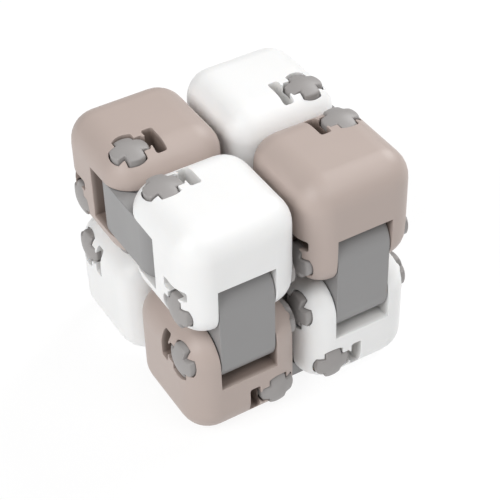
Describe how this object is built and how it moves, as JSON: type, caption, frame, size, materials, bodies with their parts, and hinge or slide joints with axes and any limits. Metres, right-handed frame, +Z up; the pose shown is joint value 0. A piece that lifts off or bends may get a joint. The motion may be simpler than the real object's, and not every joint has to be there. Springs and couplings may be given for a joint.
{
  "type": "folding fidget cube",
  "caption": "Pocket fidget cube that folds endlessly: rounded hinged blocks in a closed loop, two-pivot links let into their edges and cross-ended axles.",
  "frame": {"origin": "on the resting plane under the middle of the closed cube", "axes": "+Z up out of the closed cube's top face, +Y towards the back face, +X towards the right face as seen from the front"},
  "size_m": [0.0414, 0.0414, 0.0413],
  "materials": {
    "white_block": "satin moulded white plastic, very fine grain",
    "taupe_block": "satin moulded warm taupe plastic, very fine grain",
    "link": "satin mid-grey moulded plastic",
    "axle": "satin light grey moulded plastic"
  },
  "bodies": {
    "upper_left_pair": {"upper_front_left_shell": "white_block", "upper_front_left_cover": "white_block", "upper_back_left_shell": "taupe_block", "upper_back_left_cover": "taupe_block", "upper_left_link": "link", "upper_left_axle_front": "axle", "upper_left_axle_back": "axle", "front_left_axle_upper": "axle", "back_left_axle_upper": "axle"},
    "front_left_hinge": {"front_left_link": "link"},
    "lower_front_left": {"lower_front_left_shell": "taupe_block", "lower_front_left_cover": "taupe_block", "front_left_axle_lower": "axle", "lower_front_axle_left": "axle"},
    "lower_front_hinge": {"lower_front_link": "link"},
    "lower_front_right": {"lower_front_right_shell": "white_block", "lower_front_right_cover": "white_block", "front_right_axle_lower": "axle", "lower_front_axle_right": "axle"},
    "front_right_hinge": {"front_right_link": "link"},
    "upper_right_pair": {"upper_front_right_shell": "taupe_block", "upper_front_right_cover": "taupe_block", "upper_back_right_shell": "white_block", "upper_back_right_cover": "white_block", "upper_right_link": "link", "upper_right_axle_front": "axle", "upper_right_axle_back": "axle", "front_right_axle_upper": "axle", "back_right_axle_upper": "axle"},
    "back_left_hinge": {"back_left_link": "link"},
    "lower_back_left": {"lower_back_left_shell": "white_block", "lower_back_left_cover": "white_block", "back_left_axle_lower": "axle", "lower_back_axle_left": "axle"},
    "lower_back_hinge": {"lower_back_link": "link"},
    "lower_back_right": {"lower_back_right_shell": "taupe_block", "lower_back_right_cover": "taupe_block", "back_right_axle_lower": "axle", "lower_back_axle_right": "axle"},
    "back_right_hinge": {"back_right_link": "link"}
  },
  "joints": [
    {"name": "front_fold", "type": "hinge", "parent": "upper_left_pair", "child": "front_left_hinge", "pos_m": [-0.0105, -0.0157, 0.0258], "axis": [-1, 0, 0], "range_deg": [0, 90]},
    {"name": "front_fold_lower_left", "type": "hinge", "parent": "front_left_hinge", "child": "lower_front_left", "pos_m": [-0.0105, -0.0157, 0.0152], "axis": [-1, 0, 0], "range_deg": [0, 90]},
    {"name": "book_open", "type": "hinge", "parent": "lower_front_left", "child": "lower_front_hinge", "pos_m": [-0.0053, -0.0105, 0.0048], "axis": [0, 1, 0], "range_deg": [0, 90]},
    {"name": "book_open_front_right", "type": "hinge", "parent": "lower_front_hinge", "child": "lower_front_right", "pos_m": [0.0053, -0.0105, 0.0048], "axis": [0, 1, 0], "range_deg": [0, 90]},
    {"name": "front_fold_lower_right", "type": "hinge", "parent": "lower_front_right", "child": "front_right_hinge", "pos_m": [0.0105, -0.0157, 0.0152], "axis": [1, 0, 0], "range_deg": [0, 90]},
    {"name": "front_fold_upper_right", "type": "hinge", "parent": "front_right_hinge", "child": "upper_right_pair", "pos_m": [0.0105, -0.0157, 0.0258], "axis": [1, 0, 0], "range_deg": [0, 90]},
    {"name": "back_fold", "type": "hinge", "parent": "upper_left_pair", "child": "back_left_hinge", "pos_m": [-0.0105, 0.0157, 0.0258], "axis": [1, 0, 0], "range_deg": [0, 90]},
    {"name": "back_fold_lower_left", "type": "hinge", "parent": "back_left_hinge", "child": "lower_back_left", "pos_m": [-0.0105, 0.0157, 0.0152], "axis": [1, 0, 0], "range_deg": [0, 90]},
    {"name": "book_open_back_left", "type": "hinge", "parent": "lower_back_left", "child": "lower_back_hinge", "pos_m": [-0.0053, 0.0105, 0.0048], "axis": [0, 1, 0], "range_deg": [0, 90]},
    {"name": "book_open_back_right", "type": "hinge", "parent": "lower_back_hinge", "child": "lower_back_right", "pos_m": [0.0053, 0.0105, 0.0048], "axis": [0, 1, 0], "range_deg": [0, 90]},
    {"name": "back_fold_lower_right", "type": "hinge", "parent": "lower_back_right", "child": "back_right_hinge", "pos_m": [0.0105, 0.0157, 0.0152], "axis": [-1, 0, 0], "range_deg": [0, 90]}
  ],
  "couplings": [
    {"joint": "front_fold_lower_left", "follows": "front_fold", "ratio": 1},
    {"joint": "front_fold_lower_right", "follows": "front_fold", "ratio": 1},
    {"joint": "front_fold_upper_right", "follows": "front_fold", "ratio": 1},
    {"joint": "back_fold_lower_left", "follows": "back_fold", "ratio": 1},
    {"joint": "back_fold_lower_right", "follows": "back_fold", "ratio": 1},
    {"joint": "book_open_front_right", "follows": "book_open", "ratio": 1},
    {"joint": "book_open_back_left", "follows": "book_open", "ratio": 1},
    {"joint": "book_open_back_right", "follows": "book_open", "ratio": 1}
  ]
}
